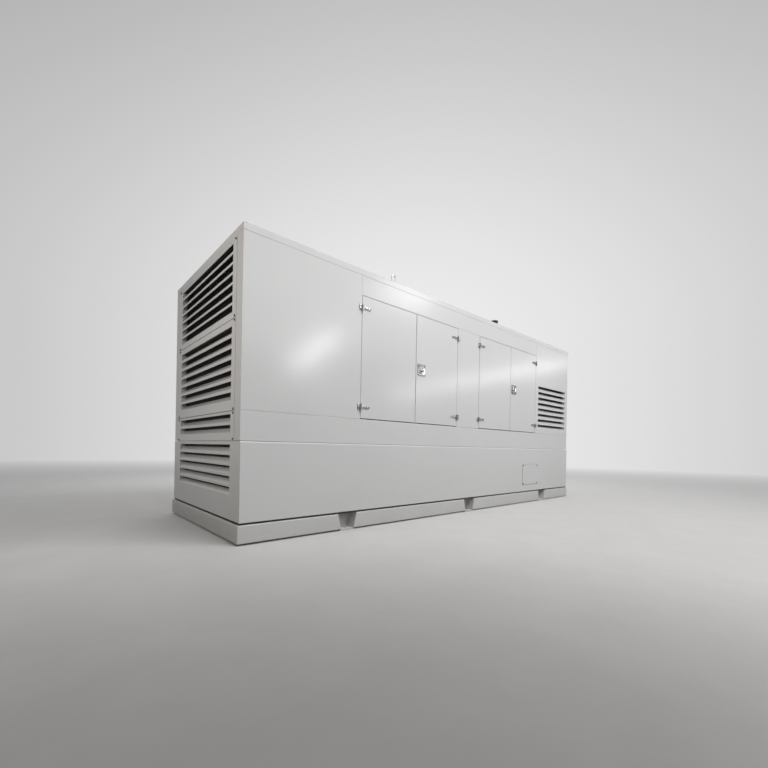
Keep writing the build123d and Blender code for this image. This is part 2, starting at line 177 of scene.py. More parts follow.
def weathered_coat_group():
    """Paint on sheet steel: faint clouding and rain runs, road dust with painted shade low down, grit and
    orange peel.
    """
    tree, given, out = new_group(
        "weathered_coat",
        [
            ("Coat Colour", "NodeSocketColor", COAT_GREY),
            ("Dust And Shade Colour", "NodeSocketColor", ROAD_DUST_AND_SHADE),
            ("Dust And Shade Top", "NodeSocketFloat", 0.9),
            ("Dust And Shade Amount", "NodeSocketFloat", 0.3),
            ("Streak Amount", "NodeSocketFloat", 0.2),
            ("Gloss Roughness", "NodeSocketFloat", 0.3),
        ],
        [("Colour", "NodeSocketColor"), ("Roughness", "NodeSocketFloat"), ("Height", "NodeSocketFloat")],
    )
    where = put(tree, "ShaderNodeTexCoord").outputs["Object"]
    level = put(tree, "ShaderNodeSeparateXYZ")
    feed(tree, where, level, 0)

    cloud = noise(tree, where, scale=0.85, detail=3.0)
    runs = noise(tree, stretched(tree, where, (14.0, 14.0, 0.35)), scale=1.0, detail=1.0, rough=0.4)
    streak = spread(tree, runs, 0.45, 0.85)
    streak = maths(tree, "MULTIPLY", streak, given["Streak Amount"])
    # Height ramp: road dust together with painted shade that darkens the walls towards the bottom
    rise = put(tree, "ShaderNodeMapRange", {2: DUST_FULL_HEIGHT}, interpolation_type="SMOOTHSTEP")
    feed(tree, level.outputs["Z"], rise, 0)
    feed(tree, given["Dust And Shade Top"], rise, 1)
    patchy = spread(tree, noise(tree, where, scale=4.0, detail=3.0), 0.30, 0.72, 0.6, 1.0)
    dust_and_shade = maths(tree, "MULTIPLY", rise.outputs[0], patchy)
    dust_and_shade = maths(tree, "MULTIPLY", dust_and_shade, given["Dust And Shade Amount"])
    grit = spread(tree, noise(tree, where, scale=55.0), 0.70, 0.76)
    grit = maths(tree, "MULTIPLY", grit, maths(tree, "MULTIPLY", rise.outputs[0], GRIT_SHARE))

    clouding = spread(tree, cloud, 0.3, 0.7, 0.98, 1.01)
    clouded = blend_colour(tree, 1.0, given["Coat Colour"], clouding, "MULTIPLY")
    streaked = blend_colour(tree, streak, clouded, given["Dust And Shade Colour"])
    dust_and_shade_coat = blend_colour(tree, dust_and_shade, streaked, given["Dust And Shade Colour"])
    gritty = blend_colour(tree, grit, dust_and_shade_coat, GRIT_DARK)
    feed(tree, gritty, out, "Colour")

    fine = spread(tree, noise(tree, where, scale=2.2, detail=1.0), 0.3, 0.7, -0.012, 0.012)
    rough = maths(tree, "ADD", given["Gloss Roughness"], fine)
    rough = maths(tree, "ADD", rough, maths(tree, "MULTIPLY", dust_and_shade, DUST_DULLS))
    rough = maths(tree, "ADD", rough, maths(tree, "MULTIPLY", streak, STREAK_DULLS))
    feed(tree, rough, out, "Roughness")

    ripple = maths(tree, "MULTIPLY", noise(tree, where, scale=1.3, detail=1.0), PANEL_RIPPLE)
    peel = maths(tree, "MULTIPLY", noise(tree, where, scale=230.0, detail=1.0), ORANGE_PEEL)
    feed(tree, maths(tree, "ADD", ripple, peel), out, "Height")
    return tree


def metal_grain_group():
    """Rolled or brushed metal: fine lines along one axis and soft smudges."""
    tree, given, out = new_group(
        "metal_grain",
        [
            ("Metal Colour", "NodeSocketColor", STAINLESS),
            ("Line Stretch", "NodeSocketVector", (20.0, 900.0, 900.0)),
            ("Line Contrast", "NodeSocketFloat", 0.12),
            ("Gloss Roughness", "NodeSocketFloat", 0.25),
        ],
        [("Colour", "NodeSocketColor"), ("Roughness", "NodeSocketFloat"), ("Height", "NodeSocketFloat")],
    )
    where = put(tree, "ShaderNodeTexCoord").outputs["Object"]
    drawn = put(tree, "ShaderNodeVectorMath", operation="MULTIPLY")
    feed(tree, where, drawn, 0)
    feed(tree, given["Line Stretch"], drawn, 1)
    lines = noise(tree, drawn.outputs[0], scale=1.0, detail=3.0, rough=0.6)
    smudge = noise(tree, where, scale=16.0, detail=4.0, rough=0.6)
    shade = maths(tree, "MULTIPLY", maths(tree, "SUBTRACT", lines, 0.5), given["Line Contrast"])
    tone = maths(tree, "ADD", shade, spread(tree, smudge, 0.3, 0.7, -0.06, 0.03))
    tone = maths(tree, "ADD", tone, 1.0)
    feed(tree, blend_colour(tree, 1.0, given["Metal Colour"], tone, "MULTIPLY"), out, "Colour")
    rough = maths(tree, "ADD", given["Gloss Roughness"], maths(tree, "MULTIPLY", shade, LINES_DULL))
    rough = maths(tree, "ADD", rough, spread(tree, smudge, 0.35, 0.75, 0.0, 0.14))
    feed(tree, rough, out, "Roughness")
    feed(tree, maths(tree, "MULTIPLY", lines, METAL_LINES), out, "Height")
    return tree


coat_group = weathered_coat_group()
grain_group = metal_grain_group()


# Materials

def new_finish(name):
    """A material with nothing but a Principled shader on its output."""
    finish = bpy.data.materials.new(name)
    finish.use_nodes = True
    tree = finish.node_tree
    tree.nodes.clear()
    shader = put(tree, "ShaderNodeBsdfPrincipled")
    output = put(tree, "ShaderNodeOutputMaterial")
    feed(tree, shader.outputs[0], output, "Surface")
    return finish, tree, shader


def raise_bump(tree, height, shader):
    """Turns a height in metres into the shader's normal."""
    bump = put(tree, "ShaderNodeBump", {"Strength": 1.0, "Distance": 1.0})
    feed(tree, height, bump, "Height")
    feed(tree, bump.outputs[0], shader, "Normal")


def grouped_finish(name, group, values, **shader_values):
    """A finish that takes its colour, roughness and bump from one of the groups."""
    finish, tree, shader = new_finish(name)
    effect = put(tree, "ShaderNodeGroup", node_tree=group)
    for socket, value in values.items():
        effect.inputs[socket].default_value = value
    feed(tree, effect.outputs["Colour"], shader, "Base Color")
    feed(tree, effect.outputs["Roughness"], shader, "Roughness")
    raise_bump(tree, effect.outputs["Height"], shader)
    for socket, value in shader_values.items():
        shader.inputs[socket].default_value = value
    return finish


def screen_finish():
    """Black welded mesh: crossed wires over dark gaps."""
    finish, tree, shader = new_finish("louvre_screen_mesh")
    where = put(tree, "ShaderNodeTexCoord").outputs["Object"]
    place = put(tree, "ShaderNodeSeparateXYZ")
    feed(tree, where, place, 0)
    along = maths(tree, "ADD", place.outputs["X"], place.outputs["Y"])
    wires = []
    for run in (along, place.outputs["Z"]):
        cell = maths(tree, "FRACT", maths(tree, "MULTIPLY", run, WIRES_PER_METRE))
        off_middle = maths(tree, "ABSOLUTE", maths(tree, "SUBTRACT", cell, 0.5))
        wires.append(spread(tree, off_middle, 0.34, 0.42))
    wire = maths(tree, "MAXIMUM", *wires)
    feed(tree, blend_colour(tree, wire, SCREEN_BLACK, SCREEN_WIRE), shader, "Base Color")
    feed(tree, spread(tree, wire, 0.0, 1.0, 0.9, 0.5), shader, "Roughness")
    raise_bump(tree, maths(tree, "MULTIPLY", wire, WIRE_HEIGHT), shader)
    return finish


def foam_finish():
    """Dark acoustic foam with a faced, dimpled surface."""
    finish, tree, shader = new_finish("acoustic_foam")
    where = put(tree, "ShaderNodeTexCoord").outputs["Object"]
    dimples = put(tree, "ShaderNodeTexVoronoi", {"Scale": 34.0, "Randomness": 0.25}, feature="SMOOTH_F1")
    feed(tree, where, dimples, "Vector")
    worn = spread(tree, noise(tree, where, scale=3.5, detail=5.0, rough=0.6), 0.42, 0.72)
    pores = noise(tree, where, scale=420.0)
    shade = blend_colour(tree, worn, FOAM_DARK, FOAM_WORN)
    shade = blend_colour(tree, 1.0, shade, spread(tree, pores, 0.3, 0.7, 0.75, 1.1), "MULTIPLY")
    feed(tree, shade, shader, "Base Color")
    feed(tree, spread(tree, pores, 0.3, 0.7, 0.78, 0.95), shader, "Roughness")
    height = maths(tree, "MULTIPLY", dimples.outputs["Distance"], FOAM_DIMPLES)
    raise_bump(tree, maths(tree, "ADD", height, maths(tree, "MULTIPLY", pores, FOAM_PORES)), shader)
    return finish


def moulded_finish(name, colour, rough, grain, shine=0.5):
    """Black rubber or moulded plastic: a fine grain, a dusty bloom, and roughness from clean to dusty."""
    finish, tree, shader = new_finish(name)
    where = put(tree, "ShaderNodeTexCoord").outputs["Object"]
    bloom = spread(tree, noise(tree, where, scale=11.0, detail=5.0, rough=0.6), 0.40, 0.75)
    pale = tuple(min(1.0, part * BLOOM_GAIN + BLOOM_LIFT) for part in colour[:3]) + (1,)
    dusted = maths(tree, "MULTIPLY", bloom, BLOOM_SHARE)
    feed(tree, blend_colour(tree, dusted, colour, pale), shader, "Base Color")
    feed(tree, spread(tree, bloom, 0.0, 1.0, *rough), shader, "Roughness")
    raise_bump(tree, maths(tree, "MULTIPLY", noise(tree, where, scale=grain), MOULDED_GRAIN), shader)
    shader.inputs["Specular IOR Level"].default_value = shine
    return finish


def galvanised_finish():
    """Hot-dip zinc: soft spangle, dull patches."""
    finish, tree, shader = new_finish("galvanised_steel")
    where = put(tree, "ShaderNodeTexCoord").outputs["Object"]
    spangle = put(tree, "ShaderNodeTexVoronoi", {"Scale": 130.0})
    feed(tree, where, spangle, "Vector")
    grey = put(tree, "ShaderNodeRGBToBW")
    feed(tree, spangle.outputs["Color"], grey, 0)
    tone = spread(tree, grey.outputs[0], 0.1, 0.9, 0.84, 1.08)
    feed(tree, blend_colour(tree, 1.0, GALVANISED, tone, "MULTIPLY"), shader, "Base Color")
    feed(tree, spread(tree, grey.outputs[0], 0.1, 0.9, 0.36, 0.52), shader, "Roughness")
    lumps = noise(tree, where, scale=60.0, detail=3.0)
    raise_bump(tree, maths(tree, "MULTIPLY", lumps, ZINC_LUMPS), shader)
    shader.inputs["Metallic"].default_value = ZINC_METALLIC
    return finish


def painted(name, colour, dust_and_shade_top, dust_and_shade, streaks, rough):
    """Paint with road dust and painted shade up to a height, rain runs and a gloss."""
    values = {
        "Coat Colour": colour,
        "Dust And Shade Top": dust_and_shade_top,
        "Dust And Shade Amount": dust_and_shade,
        "Streak Amount": streaks,
        "Gloss Roughness": rough,
    }
    return grouped_finish(name, coat_group, values, IOR=PAINT_IOR)


def bare_metal(name, colour, lines, contrast, rough):
    """Bare metal with its lines drawn out along one axis and a gloss."""
    values = {
        "Metal Colour": colour,
        "Line Stretch": lines,
        "Line Contrast": contrast,
        "Gloss Roughness": rough,
    }
    return grouped_finish(name, grain_group, values, Metallic=1.0)


# On the canopy the low-down dust darkening is partly painted shade on the lower walls
canopy_coat = painted("canopy_coat", COAT_GREY, dust_and_shade_top=0.8, dust_and_shade=0.12, streaks=0.02, rough=0.19)
skirt_coat = painted("skirt_coat", SKIRT_GREY, dust_and_shade_top=0.24, dust_and_shade=0.30, streaks=0.05, rough=0.36)
frame_coat = painted("frame_coat", FRAME_GREY, dust_and_shade_top=0.5, dust_and_shade=0.30, streaks=0.08, rough=0.55)
stainless = bare_metal("satin_stainless", STAINLESS, lines=(26.0, 700.0, 700.0), contrast=0.16, rough=0.21)
chrome = bare_metal("latch_chrome", CHROME, lines=(60.0, 240.0, 60.0), contrast=0.04, rough=0.11)
fastener_zinc = bare_metal("fastener_zinc", SCREW_GREY, lines=(300.0, 300.0, 300.0), contrast=0.1, rough=0.42)
galvanised = galvanised_finish()
screen_mesh = screen_finish()
foam = foam_finish()
# Also the finish of the painted shade in the latch gaps and keyway
cap_and_shade_black = moulded_finish("breather_and_shade_black", CAP_AND_SHADE_BLACK, rough=(0.42, 0.6), grain=500.0, shine=0.25)
# Also the black of the base cushion, which paints the shade in the base joint
rubber = moulded_finish("seal_rubber", RUBBER_BLACK, rough=(0.55, 0.8), grain=800.0)

finish_of_slot = {
    "canopy_paint": canopy_coat,
    "base_paint": skirt_coat,
    "frame_paint": frame_coat,
    "hinge_steel": stainless,
    "latch_chrome": chrome,
    "loop_steel": galvanised,
    "screen_mesh": screen_mesh,
    "acoustic_lining": foam,
    "breather_cap": cap_and_shade_black,
}
for subpart in frame["record"]["subparts"]:
    for held in nodes[subpart["node"]].material_slots:
        held.material = finish_of_slot[subpart["material_slot"]]


# Mesh helpers

SMOOTH_ANGLE = math.radians(40.0)
CROWN_END_TURN = math.radians(78.0)
CROWN_END_START = 0.72
CROWN_END_FALL = 0.9
BOWL_BACK = 0.0004


def new_piece(name, mesh, finish, body):
    """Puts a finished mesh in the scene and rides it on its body."""
    piece = bpy.data.objects.new(name, mesh)
    scene.collection.objects.link(piece)
    mesh.materials.clear()
    mesh.materials.append(finish)
    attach(piece, body)
    return piece


def finished_mesh(name, shape):
    """Ends a bmesh: faces outward, rounds shaded smooth, edges kept."""
    bmesh.ops.recalc_face_normals(shape, faces=shape.faces)
    mesh = bpy.data.meshes.new(name)
    shape.to_mesh(mesh)
    shape.free()
    for face in mesh.polygons:
        face.use_smooth = True
    mesh.set_sharp_from_angle(angle=SMOOTH_ANGLE)
    return mesh


def shaped_piece(name, shape, finish, body):
    """Ends a bmesh as a piece of the scene."""
    return new_piece(name, finished_mesh(name, shape), finish, body)


def add_block(shape, low, high, round_edge=0.0):
    """A box between two corners, its edges rounded if asked."""
    low, high = Vector(low), Vector(high)
    size = high - low
    place = Matrix.Translation((low + high) / 2) @ Matrix.Diagonal((*size, 1.0))
    made = bmesh.ops.create_cube(shape, size=1.0, matrix=place)
    if round_edge:
        edges = {edge for vertex in made["verts"] for edge in vertex.link_edges}
        bmesh.ops.bevel(shape, geom=list(edges), offset=round_edge, segments=2, affect="EDGES")


def add_drum(shape, middle, axis, radius, depth, sides=24):
    """A closed cylinder about a point, along an axis."""
    turn = Vector(axis).to_track_quat("Z", "Y").to_matrix().to_4x4()
    bmesh.ops.create_cone(
        shape, cap_ends=True, segments=sides, radius1=radius, radius2=radius, depth=depth,
        matrix=Matrix.Translation(middle) @ turn,
    )


def join_rings(shape, rings, closed):
    """Skins a row of rings with four-sided faces."""
    count = len(rings[0])
    last = len(rings) if closed else len(rings) - 1
    for index in range(last):
        here, there = rings[index], rings[(index + 1) % len(rings)]
        for spot in range(count):
            after = (spot + 1) % count
            shape.faces.new((here[spot], here[after], there[after], there[spot]))


def add_bar(shape, path, across, radius, sides=16, closed=False):
    """A round bar along a path in the plane square to across: a ring if closed, else with flat ends."""
    across = Vector(across)
    last = len(path) - 1
    rings = []
    for index, point in enumerate(path):
        if closed:
            before, after = path[index - 1], path[(index + 1) % len(path)]
        else:
            before, after = path[max(index - 1, 0)], path[min(index + 1, last)]
        out = (after - before).cross(across).normalized()
        ring = []
        for step in range(sides):
            angle = math.tau * step / sides
            offset = out * math.cos(angle) + across * math.sin(angle)
            ring.append(shape.verts.new(point + offset * radius))
        rings.append(ring)
    join_rings(shape, rings, closed)
    if not closed:
        shape.faces.new(rings[0])
        shape.faces.new(rings[-1])


def add_plate(shape, low, high, corner, steps=6):
    """A flat plate square to y between two corners, its four corners rounded."""
    left, right = low[0] + corner, high[0] - corner
    foot, head = low[2] + corner, high[2] - corner
    spots = []
    for quarter, (x, z) in enumerate(((right, head), (left, head), (left, foot), (right, foot))):
        for step in range(steps + 1):
            angle = (quarter + step / steps) * math.pi / 2
            spots.append((x + corner * math.cos(angle), z + corner * math.sin(angle)))
    rings = [[shape.verts.new((x, y, z)) for x, z in spots] for y in (low[1], high[1])]
    join_rings(shape, rings, False)
    shape.faces.new(rings[0])
    shape.faces.new(rings[1])


def add_bead(shape, x_low, x_high, z_low, z_high, seat, width, rise, steps=8):
    """A half-round bead round a rectangle, standing off its seat towards +y."""
    corners = ((x_low, z_low, 1, 1), (x_high, z_low, -1, 1), (x_high, z_high, -1, -1), (x_low, z_high, 1, -1))
    rings = []
    for x, z, in_x, in_z in corners:
        ring = []
        for step in range(steps + 1):
            angle = math.pi * step / steps
            inset = width * (1 - math.cos(angle)) / 2
            ring.append(shape.verts.new((x + in_x * inset, seat + rise * math.sin(angle), z + in_z * inset)))
        rings.append(ring)
    join_rings(shape, rings, True)


def crown_swell(run):
    """Fullness of a crown at a share of its length: whole, then rounded off towards the tip."""
    past = max(0.0, run - CROWN_END_START) / (1.0 - CROWN_END_START)
    return math.sqrt(1.0 - CROWN_END_FALL * past * past)


def add_crown(shape, root, tip, half, across, out, rise, taper=1.0, steps=12, arch=10):
    """A domed back from a root to a rounded tip, on a seat that faces out, as wide as half each way."""
    across, out = Vector(across), Vector(out)
    rings = []
    for step in range(steps + 1):
        turn = CROWN_END_TURN * step / steps
        run = math.sin(turn) / math.sin(CROWN_END_TURN)
        swell = crown_swell(run)
        middle = root.lerp(tip, run)
        width = half * swell * (1.0 + (taper - 1.0) * run)
        ring = []
        for spot in range(arch + 1):
            angle = math.pi * spot / arch
            offset = across * width * math.cos(angle) + out * rise * swell * math.sin(angle)
            ring.append(shape.verts.new(middle + offset))
        rings.append(ring)
    join_rings(shape, rings, False)
    shape.faces.new(rings[0])
    shape.faces.new(rings[-1])


def add_bowl(shape, middle, width, height, out, depth, squareness=5.0, steps=8, sides=40):
    """A shallow concave dish with a rounded square rim and a flat back, its floor at the middle."""
    shares = [1.0 - step / (steps + 1) for step in range(steps + 1)]
    levels = [(1.0, -out * BOWL_BACK)] + [(share, out * depth * share * share) for share in shares]
    rings = []
    for share, lift in levels:
        ring = []
        for spot in range(sides):
            angle = math.tau * spot / sides
            run, rise = math.cos(angle), math.sin(angle)
            reach = (abs(run) ** squareness + abs(rise) ** squareness) ** (-1.0 / squareness)
            x = middle[0] + run * reach * share * width / 2
            z = middle[2] + rise * reach * share * height / 2
            ring.append(shape.verts.new((x, middle[1] + lift, z)))
        rings.append(ring)
    join_rings(shape, rings, False)
    shape.faces.new(rings[0])
    shape.faces.new(rings[-1])


# Places of the fittings, from the frame

def node_corners(name):
    """Low and high corner of a node's box."""
    low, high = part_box(name)
    return Vector(low), Vector(high)


LEAF_THICK = 0.005
LEAF_MIDDLE = 0.025
LEAF_SCREW_RISE = 0.015
STRAP_SCREW_REACHES = (0.030, 0.062, 0.094)
STRAP_HALF = 0.013
KNUCKLE_HALF = 0.027
front_face = node_corners("front_left_panel")[0].y
hinges = []
for joint in frame["record"]["behaviour"]["joints"]:
    straps_low, straps_high = node_corners(joint["child"] + "_hinge_straps")
    levels = (straps_low.z + STRAP_HALF, straps_high.z - KNUCKLE_HALF)
    side = -joint["axis"][2]
    tip = straps_high.x if side > 0 else straps_low.x
    hinges += [(joint["child"], joint["pos_m"][0], side, level, tip) for level in levels]


# Screws, by body: place, the way the head faces, head radius

screws = {body: [] for body in bodies}


def side_screw(body, x, z, y, radius):
    """A screw on the front that rides on a body, and its fixed copy on the rear."""
    screws[body].append(((x, y, z), (0, -1, 0), radius))
    screws["canopy"].append(((x, -y, z), (0, 1, 0), radius))


# Panel screws on both ends, beside the seams of each bolted panel
END_SCREW_SIDE = 0.026
END_SCREW_RISE = 0.016
END_SCREW_RADIUS = 0.009
for panel in ("left_lower_louvre", "left_middle_louvre", "left_upper_louvre"):
    low, high = node_corners(panel)
    for y in (low.y + END_SCREW_SIDE, high.y - END_SCREW_SIDE):
        for z in (low.z + END_SCREW_RISE, high.z - END_SCREW_RISE):
            screws["canopy"].append(((low.x, y, z), (-1, 0, 0), END_SCREW_RADIUS))
            screws["canopy"].append(((-low.x, y, z), (1, 0, 0), END_SCREW_RADIUS))


# Hinge castings: a crowned back on each strap and leaf, with screws, and fixed copies on the rear
HINGE_SCREW_RADIUS = 0.0050
STRAP_ROOT = 0.0135
STRAP_TIP_INSET = 0.002
STRAP_CROWN = 0.0065
STRAP_TAPER = 0.74
LEAF_ROOT = 0.0135
LEAF_REACH = 0.0355
LEAF_CROWN = 0.0045
LEAF_SCREW_SINK = 0.0012
STRAP_SCREW_SINK = 0.0010
crowns = {body: bmesh.new() for body in bodies}
for body, pin, side, level, tip in hinges:
    face = front_face - LEAF_THICK
    for crown, out in ((crowns[body], -1), (crowns["canopy"], 1)):
        seat = -out * face
        root = Vector((pin + side * STRAP_ROOT, seat, level))
        end = Vector((tip - side * STRAP_TIP_INSET, seat, level))
        add_crown(crown, root, end, STRAP_HALF, (0, 0, 1), (0, out, 0), STRAP_CROWN, STRAP_TAPER)
    for out in (-1, 1):
        seat = -out * face
        root = Vector((pin - side * LEAF_ROOT, seat, level))
        end = Vector((pin - side * LEAF_REACH, seat, level))
        add_crown(crowns["canopy"], root, end, KNUCKLE_HALF, (0, 0, 1), (0, out, 0), LEAF_CROWN)
    for rise in (-LEAF_SCREW_RISE, LEAF_SCREW_RISE):
        top = face - LEAF_CROWN + LEAF_SCREW_SINK
        side_screw("canopy", pin - side * LEAF_MIDDLE, level + rise, top, HINGE_SCREW_RADIUS)
    for reach in STRAP_SCREW_REACHES:
        side_screw(body, pin + side * reach, level, face - STRAP_CROWN + STRAP_SCREW_SINK, HINGE_SCREW_RADIUS)
for body, crown in crowns.items():
    shaped_piece(body + "_hinge_crowns", crown, stainless, body)


# Door frame returns: painted lips behind the hinge-side and head gaps, with fixed copies on the rear
RETURN_SET_BACK = 0.004
RETURN_DEPTH = 0.020
RETURN_CLEAR = 0.0015
header_low = node_corners("front_header")[0].z
pillar_low, pillar_high = node_corners("front_pillar")
openings = (
    ("door_1", "door_2", node_corners("front_left_panel")[1].x, pillar_low.x),
    ("door_3", "door_4", pillar_high.x, node_corners("front_right_panel")[0].x),
)
returns = bmesh.new()
for first, second, left, right in openings:
    door_low, door_high = node_corners(first)[0], node_corners(second)[1]
    head = door_high.z + RETURN_CLEAR
    for out in (-1, 1):
        outer = out * (abs(front_face) - RETURN_SET_BACK)
        ys = sorted((outer, outer - out * RETURN_DEPTH))
        add_block(returns, (left, ys[0], door_low.z), (door_low.x - RETURN_CLEAR, ys[1], head))
        add_block(returns, (door_high.x + RETURN_CLEAR, ys[0], door_low.z), (right, ys[1], head))
        add_block(returns, (left, ys[0], head), (right, ys[1], header_low))
shaped_piece("door_frame_returns", returns, canopy_coat, "canopy")


# Cushion: a black rubber strip all round in the joint between the base and the lower shell, whose black also
# paints the shade in that joint
SHADE_CUSHION_SET_BACK = 0.004
SHADE_CUSHION_WIDTH = 0.020
SHADE_CUSHION_CLEAR = 0.0002
joint_low = node_corners("front_skirt")[1].z + SHADE_CUSHION_CLEAR
joint_high = node_corners("front_lower_wall")[0].z - SHADE_CUSHION_CLEAR
shade_cushion_x = node_corners("right_lower_wall")[1].x - SHADE_CUSHION_SET_BACK
shade_cushion_y = node_corners("rear_lower_wall")[1].y - SHADE_CUSHION_SET_BACK
shade_cushion_profile = (
    (0, joint_low),
    (0, joint_high),
    (SHADE_CUSHION_WIDTH, joint_high),
    (SHADE_CUSHION_WIDTH, joint_low),
)
shade_cushion = bmesh.new()
shade_cushion_rings = []
for way_x, way_y in ((-1, -1), (1, -1), (1, 1), (-1, 1)):
    ring = []
    for inset, level in shade_cushion_profile:
        place = (way_x * (shade_cushion_x - inset), way_y * (shade_cushion_y - inset), level)
        ring.append(shade_cushion.verts.new(place))
    shade_cushion_rings.append(ring)
join_rings(shade_cushion, shade_cushion_rings, True)
shaped_piece("base_shade_cushion", shade_cushion, rubber, "canopy")


# Access plate: screws and the gasket that shows round its edge
ACCESS_SCREW_INSET = 0.015
ACCESS_SCREW_RADIUS = 0.009
GASKET_SHOW = 0.002
GASKET_THICK = 0.002
plate_low, plate_high = node_corners("access_plate")
for x in (plate_low.x + ACCESS_SCREW_INSET, plate_high.x - ACCESS_SCREW_INSET):
    for z in (plate_low.z + ACCESS_SCREW_INSET, plate_high.z - ACCESS_SCREW_INSET):
        screws["canopy"].append(((x, plate_low.y, z), (0, -1, 0), ACCESS_SCREW_RADIUS))
gasket = bmesh.new()
add_block(
    gasket,
    (plate_low.x - GASKET_SHOW, plate_high.y - GASKET_THICK, plate_low.z - GASKET_SHOW),
    (plate_high.x + GASKET_SHOW, plate_high.y, plate_high.z + GASKET_SHOW),
)
shaped_piece("access_gasket", gasket, rubber, "canopy")


# Latches: chrome dish and crowned paddle, black blocks of painted shade in the gaps and keyway, lock barrel
# and a gasket whose black is partly painted contact shade, and fixed copies on the rear
BOWL_WIDTH, BOWL_HEIGHT, BOWL_DEPTH = 0.0895, 0.0915, 0.0055
BOWL_FLOOR = 0.0012
PADDLE_TOP, PADDLE_FOOT, PADDLE_HALF = 0.040, -0.0125, 0.029
PADDLE_SEAT, PADDLE_CROWN = 0.005, 0.0025
GAP_SHADE_HALF, GAP_SHADE_FACE = 0.030, 0.0042
GAP_SHADE_LEVELS = ((-0.0205, -0.0110), (0.0385, 0.0440))
LATCH_GASKET_SHADE_SHOW, LATCH_GASKET_SHADE_THICK, LATCH_GASKET_SHADE_CORNER = 0.0020, 0.0012, 0.0160
BARREL_RADIUS, BARREL_FACE, BARREL_DROP = 0.011, 0.0066, 0.030
KEYWAY_SHADE_LENGTH, KEYWAY_SHADE_WIDTH, KEYWAY_SHADE_PROUD = 0.011, 0.0026, 0.0004
LATCH_SCREW_INSET = 0.0085
LATCH_SCREW_RADIUS = 0.0040


def latch_details(body, seat, out, low, high, name):
    """Dish, paddle back, painted shade in the gaps and keyway, barrel and gasket of one latch, on a face at y
    = seat that looks along out.
    """
    mid_x = (low.x + high.x) / 2
    mid_z = (low.z + high.z) / 2
    floor = seat + out * BOWL_FLOOR
    bright = bmesh.new()
    add_bowl(bright, (mid_x, floor, mid_z), BOWL_WIDTH, BOWL_HEIGHT, out, BOWL_DEPTH)
    paddle_seat = seat + out * PADDLE_SEAT
    paddle_root = Vector((mid_x, paddle_seat, mid_z + PADDLE_TOP))
    paddle_tip = Vector((mid_x, paddle_seat, mid_z + PADDLE_FOOT))
    add_crown(bright, paddle_root, paddle_tip, PADDLE_HALF, (1, 0, 0), (0, out, 0), PADDLE_CROWN)
    barrel_z = mid_z - BARREL_DROP
    barrel_face = seat + out * BARREL_FACE
    add_drum(bright, (mid_x, (seat + barrel_face) / 2, barrel_z), (0, 1, 0), BARREL_RADIUS, BARREL_FACE)
    shaped_piece(name + "_dish", bright, chrome, body)

    # Black blocks that paint the shade in the paddle gaps and keyway, and a gasket that is partly painted
    # contact shade
    painted_shade_and_gasket = bmesh.new()
    gap_shade_ys = sorted((floor, seat + out * GAP_SHADE_FACE))
    for foot, top in GAP_SHADE_LEVELS:
        gap_shade_low = (mid_x - GAP_SHADE_HALF, gap_shade_ys[0], mid_z + foot)
        gap_shade_high = (mid_x + GAP_SHADE_HALF, gap_shade_ys[1], mid_z + top)
        add_block(painted_shade_and_gasket, gap_shade_low, gap_shade_high)
    gasket_shade_ys = sorted((seat, seat + out * LATCH_GASKET_SHADE_THICK))
    add_plate(
        painted_shade_and_gasket,
        (low.x - LATCH_GASKET_SHADE_SHOW, gasket_shade_ys[0], low.z - LATCH_GASKET_SHADE_SHOW),
        (high.x + LATCH_GASKET_SHADE_SHOW, gasket_shade_ys[1], high.z + LATCH_GASKET_SHADE_SHOW),
        LATCH_GASKET_SHADE_CORNER,
    )
    keyway_shade_ys = sorted((barrel_face, barrel_face + out * KEYWAY_SHADE_PROUD))
    add_block(
        painted_shade_and_gasket,
        (mid_x - KEYWAY_SHADE_LENGTH / 2, keyway_shade_ys[0], barrel_z - KEYWAY_SHADE_WIDTH / 2),
        (mid_x + KEYWAY_SHADE_LENGTH / 2, keyway_shade_ys[1], barrel_z + KEYWAY_SHADE_WIDTH / 2),
    )
    shaped_piece(name + "_shade_and_gasket", painted_shade_and_gasket, cap_and_shade_black, body)


for body in ("door_2", "door_4"):
    low, high = node_corners(body + "_latch")
    latch_details(body, front_face, -1, low, high, body + "_latch")
    latch_details("canopy", -front_face, 1, low, high, "rear_" + body + "_latch")
    for x in (low.x + LATCH_SCREW_INSET, high.x - LATCH_SCREW_INSET):
        for z in (low.z + LATCH_SCREW_INSET, high.z - LATCH_SCREW_INSET):
            side_screw(body, x, z, low.y, LATCH_SCREW_RADIUS)


# Door seals: a half-round bead on the back of each door's rim
SEAL_INSET = 0.009
SEAL_WIDTH = 0.012
SEAL_RISE = 0.005
for body in doors:
    low, high = node_corners(body)
    seal = bmesh.new()
    add_bead(
        seal, low.x + SEAL_INSET, high.x - SEAL_INSET, low.z + SEAL_INSET, high.z - SEAL_INSET,
        high.y, SEAL_WIDTH, SEAL_RISE,
    )
    shaped_piece(body + "_seal", seal, rubber, body)


